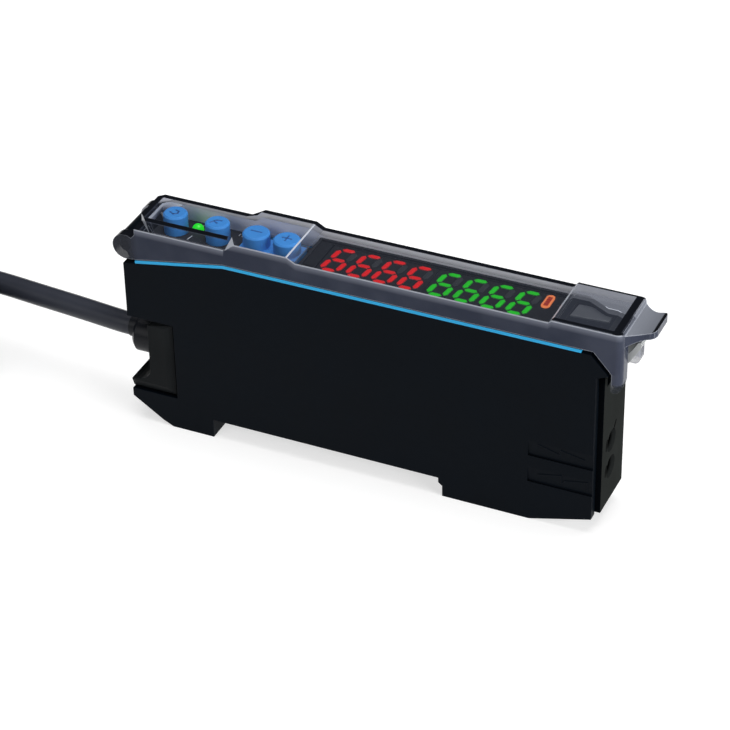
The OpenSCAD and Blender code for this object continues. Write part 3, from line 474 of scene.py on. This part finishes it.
# %% Which way a face of the cover looks, and at which end it lies
ear_x, chamfer_x, step_x, lever_x, lip_x, tip_x = -35.0, -21.9, -12.3, 26.25, 36.2, 39.35
cover_shader = moulded("smoke_cover", (0.030, 0.037, 0.062), 0.16, grain=0.8, depth=0.001, radius=0.2,
                       Specular_IOR_Level=0.16)
start = Wire(finishes["smoke_cover"].node_tree)
(x, y, z), (nx, ny, nz) = where(start)
edge = edges(start, 0.2)[1]
cloud = noise(start, 6, 3)
outer = 1 - start.add("ShaderNodeNewGeometry", out="Backfacing")
level = (nz * nz).above(0.20, 0.50)
top = nz.above(0.45, 0.70) * outer
# Inner faces of the walls, which get painted light.
inside = (0 - ny * y).above(1.0, 2.0)
button_end = (0 - x).above(-chamfer_x - 0.1, -chamfer_x + 0.1)
lever_end = x.above(lever_x - 0.45, lever_x + 0.05)
lip = x.above(lip_x - 0.2, lip_x + 0.2)
print("stations of the cover in mm:", ear_x, chamfer_x, step_x, lever_x, lip_x, tip_x)

# %% Painted highlights and painted dark rims of the cover
roof_z, chamfer_h, display_drop, lever_rise = 33.95, 1.2, 0.7, 0.4
rim_y, near_rim_y, end_rim_x = 2.35, -4.45, 35.25


def line_at(value, middle, half):
    """1 on a line of the given half width, and 0 away from it."""
    return value.above(middle - half - 0.05, middle - half) - value.above(middle + half, middle + half + 0.05)


# Painted highlight on the facet at the button end and on the ridges at the steps; painted shade on the black
# rims where the top meets a wall.
facet = top * (0 - nx).above(0.40, 0.50)
ridge = top * (line_at(x, step_x, 0.10) + line_at(x, lever_x, 0.10)).held()
past_chamfer = x - chamfer_x
widening = past_chamfer.above(0, 1.3) * 0.85 + past_chamfer.above(1.25, 1.4) * 0.90 + lever_end * 0.45
far_rim = (y - widening).above(rim_y, rim_y + 0.15) + (0 - x).above(-ear_x - 0.1, -ear_x + 0.1)
near_rim = z.above(roof_z - 0.40, roof_z - 0.30) * (0 - ny).above(0.3, 0.4) * button_end
end_rim = line_at(x, end_rim_x, 0.50) + line_at(y, near_rim_y, 0.30) * lever_end
rims = (1 - lip) * (far_rim + near_rim + end_rim) + x.above(tip_x, tip_x + 0.15)
rim_shade = top * rims.held()
step_down = x.above(step_x, step_x + 1.3) * display_drop
roof = roof_z - button_end * chamfer_h - step_down + lever_end * lever_rise
# Painted highlight: a pale line along the brink of the walls.
brink = (z - roof).above(-0.26, -0.14) * (1 - level) * outer * (1 - lip)
print("rims and brink of the cover, under a roof at", roof_z, "mm")

# %% The frosted part over the lever, up to a wavy line
wave_y, first_bend, second_bend = 2.3, (29.0, 32.2), (33.6, 34.6)
glint_x0, glint_x1 = 31.6, 34.0
wave = y - (wave_y - x.above(*first_bend) * 1.75 - x.above(*second_bend) * 0.45)
frosted = lever_end * wave.above(0.0, 0.08)
# Painted highlight: a glint along the right part of the wavy line.
shining = x.above(glint_x0, glint_x0 + 0.3) - x.above(glint_x1, glint_x1 + 0.3)
glint = top * line_at(wave, 0.05, 0.05) * shining
print("frosted from y =", wave_y, "mm on, with bends at", first_bend, "and", second_bend)

# %% Tones of the smoke, with the colours of its painted highlights, painted light and painted shade
# Among them, the colours of a painted highlight below the brink, of painted light on the inner faces of the
# walls, of painted highlight lines and of painted shade at the rims.
smoke = {"wall": (0.013, 0.020, 0.046, 1), "leg": (0.032, 0.040, 0.072, 1),
         "cloud": (0.040, 0.050, 0.085, 1), "haze": (0.150, 0.165, 0.215, 1),
         "ear": (0.004, 0.007, 0.016, 1), "roof": (0.100, 0.115, 0.160, 1),
         "frost": (0.250, 0.268, 0.320, 1), "lip": (0.200, 0.214, 0.250, 1),
         "inside": (0.640, 0.650, 0.720, 1), "line": (0.50, 0.53, 0.60, 1),
         "rim": (0.005, 0.006, 0.009, 1)}
print("tones of the smoke:", len(smoke))

# %% The see-through finishes
leg_x, foot_z, dense = 30.0, 25.3, 0.94
slope = top * nx.above(0.30, 0.40)
clear = 0.05 + lever_end * 0.08 + frosted * 0.32 + slope * 0.29
ear = (0 - x).above(0.5 - ear_x, 2.0 - ear_x)
# Painted highlight: a lighter band that fades below the brink.
haze = (z - roof).above(-1.15, -0.40) * outer * (1 - lip)
wall = x.above(leg_x, leg_x + 4.0).tint(smoke["wall"], smoke["leg"])
wall = (cloud.above(0.45, 0.75) * 0.4).tint(wall, smoke["cloud"])
wall = ear.tint(haze.tint(wall, smoke["haze"]), smoke["ear"])
roofed = frosted.tint(smoke["roof"], smoke["frost"])
skin = level.tint(wall, lip.tint(roofed, smoke["lip"]))
# Painted light: inner faces of the walls go pale as if lit.
skin = (inside * (1 - level)).tint(skin, smoke["inside"])
# Painted highlights on the edges, the facet, the ridges, the glint and the brink.
light = (edge * 1.5 + cloud * 0.05 + facet * 1.5 + ridge + glint + brink * 0.95).held() * (1 - ear * 0.6)
# Painted shade: the black rims.
tone = rim_shade.tint(light.tint(skin, smoke["line"]), smoke["rim"])
start.feed(cover_shader.inputs["Base Color"], tone)
foot = 1 - z.above(foot_z, foot_z + 0.5)
solid = dense - (level * (1 - lip) + foot).held() * (dense - clear)
marked = edge * (1 - foot) * 0.35 + (facet + ridge + glint) * 0.85 + rim_shade
start.feed(cover_shader.inputs["Alpha"], (solid + marked).held())
window_shader = moulded("smoke_window", (0.010, 0.011, 0.014), 0.12, depth=0.001, Specular_IOR_Level=0.08)
start = Wire(finishes["smoke_window"].node_tree)
start.feed(window_shader.inputs["Alpha"], noise(start, cloud_size) * 0.10 + edges(start, 0.1)[1] * 0.2 + 0.06)
print("see-through finishes: cover and window")

# %% Give every solid its finish
for part in frame["record"]["subparts"]:
    mesh = nodes[part["node"]].data
    mesh.materials.clear()
    mesh.materials.append(finishes[part["material_slot"]])
nodes["cable_clamp"].data.materials[0] = finishes["clamp_block"]
nodes["cable_bush"].data.materials[0] = finishes["bush_black"]
sheath.materials.append(finishes["cable_black"])

# %% [markdown]
# ## Small moulded marks
# The near side has a zigzag line in relief on each of the two ramps beside the fibre ports. The lines
# could be a bump in the material, but raised bars catch the light as the real ribs do. A bar is a cube,
# stretched, with its edges bevelled, and turned onto the face that carries it.

# %% Bars on a face
def bar(bm, start, end, width, rise, outward):
    """A low bar from start to end, in millimetres, half sunk into a face that looks outward."""
    along, outward = Vector(end) - Vector(start), Vector(outward)
    one = bmesh.new()
    bmesh.ops.create_cube(one, size=1)
    bmesh.ops.scale(one, vec=(along.length + width, width, 2 * rise), verts=one.verts)
    bmesh.ops.bevel(one, geom=one.edges, offset=0.45 * rise, offset_type="OFFSET", affect="EDGES", segments=2,
                    profile=0.5, material=-1)
    x = along.normalized()
    turn = Matrix((x, outward.cross(x), outward)).transposed().to_4x4()
    place = Matrix.Scale(MM, 4) @ Matrix.Translation((Vector(start) + Vector(end)) / 2)
    bmesh.ops.transform(one, matrix=place @ turn, verts=one.verts)
    made = bpy.data.meshes.new("bar")
    one.to_mesh(made)
    one.free()
    bm.from_mesh(made)
    bpy.data.meshes.remove(made)


def piece(name, bm, slot, body):
    """The mesh as a piece that rides on a body."""
    bmesh.ops.recalc_face_normals(bm, faces=bm.faces)
    mesh = bpy.data.meshes.new(name)
    bm.to_mesh(mesh)
    bm.free()
    mesh.materials.append(finishes[slot])
    made = bpy.data.objects.new(name, mesh)
    bpy.context.scene.collection.objects.link(made)
    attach(made, body)
    print(name, "faces:", len(mesh.polygons))
    return made


# %% Zigzags on the ramps beside the ports
near_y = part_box("side_cover")[0].y / MM
ramp_depth, ramp_h, relief_w, relief_h = 0.25, 2.5, 0.20, 0.07
ramps = [(10.8, [(24.9, 13.0), (27.9, 12.1), (28.2, 12.9), (31.5, 12.2)]),
         (6.4, [(25.0, 7.9), (28.3, 8.7), (28.3, 7.3), (28.9, 7.9), (32.1, 8.6), (32.1, 7.3)])]
bm = bmesh.new()
for foot, points in ramps:
    sunk = [(x, near_y + ramp_depth * max(0, 1 - (z - foot) / ramp_h), z) for x, z in points]
    for start, end in zip(sunk, sunk[1:]):
        bar(bm, start, end, relief_w, relief_h, (0, -1, 0))
piece("relief_lines", bm, "black_case", "case")

# %% Signs on the keys
sign_w, sign_h = 0.22, 0.05
moulded("key_sign", (0.012, 0.080, 0.270), 0.40)


def signs(name, key, body, strokes):
    """Strokes on the top of a key, from its middle."""
    low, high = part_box(key)
    x, y, z = (low.x + high.x) / 2 / MM, (low.y + high.y) / 2 / MM, high.z / MM
    bm = bmesh.new()
    for x0, y0, x1, y1 in strokes:
        bar(bm, (x + x0, y + y0, z), (x + x1, y + y1, z), sign_w, sign_h, (0, 0, 1))
    made = piece(name, bm, "key_sign", body)


signs("set_sign", "set_button", "set",
      [(-0.7, -0.2, 0, -0.6), (0, -0.6, 0.5, -0.2), (0.5, -0.2, 0.4, 0.35), (0.4, 0.35, -0.1, 0.5)])
signs("mode_sign", "mode_button", "mode",
      [(-0.8, -0.5, -0.2, 0.3), (-0.2, 0.3, 0.5, 0.4), (-0.45, -0.05, 0.15, -0.4)])
signs("rocker_signs", "value_rocker", "rocker",
      [(-3.1, 0.1, -1.6, 0.1), (1.7, 0.1, 3.0, 0.1), (2.35, -0.55, 2.35, 0.75)])

# %% [markdown]
# ## Print, pad and slot
# A few marks stay: white print beside the keys, a paler pad with a wavy edge in the pocket over the
# lever, and on the end face a slanted slot above the upper fibre port and a bent one beside each port,
# drawn as near black strips of painted shade.
# The pad is one outline that is filled, pulled up and bevelled, as a cut gasket would be.

# %% White print on the panel
moulded("white_print", (0.3600, 0.3800, 0.4200), 0.50, depth=0.002)
panel_z, stroke_pitch, print_h, fine_w, bold_w = 30.0, 0.5, 0.02, 0.12, 0.14
bm = bmesh.new()
for first in (-30.4, -23.6):
    for x in (first + stroke_pitch * k for k in range(3)):
        bar(bm, (x, 3.0, panel_z), (x, 3.5, panel_z), fine_w, print_h, (0, 0, 1))
bar(bm, (-29.9, -0.6, panel_z), (-29.7, 0.4, panel_z), bold_w, print_h, (0, 0, 1))
piece("panel_print", bm, "white_print", "case")

# %% Pad over the lever
moulded("pad_grey", (0.0450, 0.0490, 0.0560), 0.40, depth=0.003, wear_and_highlight=3.0)
pad_z, pad_t, pad_round = 31.75, 0.35, 0.1
outline = [(27.3, -0.6), (32.7, -0.2), (32.7, 1.0), (31.7, 1.1),
           (30.9, 1.5), (29.8, 2.2), (29.0, 2.4), (27.5, 2.3)]
bm = bmesh.new()
rim = [bm.verts.new((x * MM, y * MM, pad_z * MM)) for x, y in outline]
bottom = bm.faces.new(rim)
grown = bmesh.ops.extrude_face_region(bm, geom=[bottom])
raised = [v for v in grown["geom"] if isinstance(v, bmesh.types.BMVert)]
bmesh.ops.translate(bm, verts=raised, vec=(0, 0, pad_t * MM))
upper = [e for e in bm.edges if all(v in raised for v in e.verts)]
bmesh.ops.bevel(bm, geom=upper, offset=pad_round * MM, offset_type="OFFSET", affect="EDGES", segments=2,
                profile=0.5, material=-1)
piece("lever_pad", bm, "pad_grey", "case")

# %% Slots on the end face
end_x, slot_w, groove_w, slot_h = 33.6, 0.30, 0.20, 0.03
# The slots are near black strips: painted shade where the end face is cut in.
moulded("slot_shade", (0.0008, 0.0008, 0.0010), 0.60, depth=0.001, Specular_IOR_Level=0.0)
bm = bmesh.new()
bar(bm, (end_x, 1.57, 15.2), (end_x, 0.87, 14.3), slot_w, slot_h, (1, 0, 0))
for z in port_heights:
    bar(bm, (end_x, -2.05, z + 0.5), (end_x, -1.75, z + 1.1), groove_w, slot_h, (1, 0, 0))
    bar(bm, (end_x, -2.05, z - 0.5), (end_x, -2.05, z + 0.5), groove_w, slot_h, (1, 0, 0))
piece("end_marks", bm, "slot_shade", "case")

# %% [markdown]
# ## The end
# The view layer is brought up to date once more.

# %% Finish
bpy.context.view_layer.update()
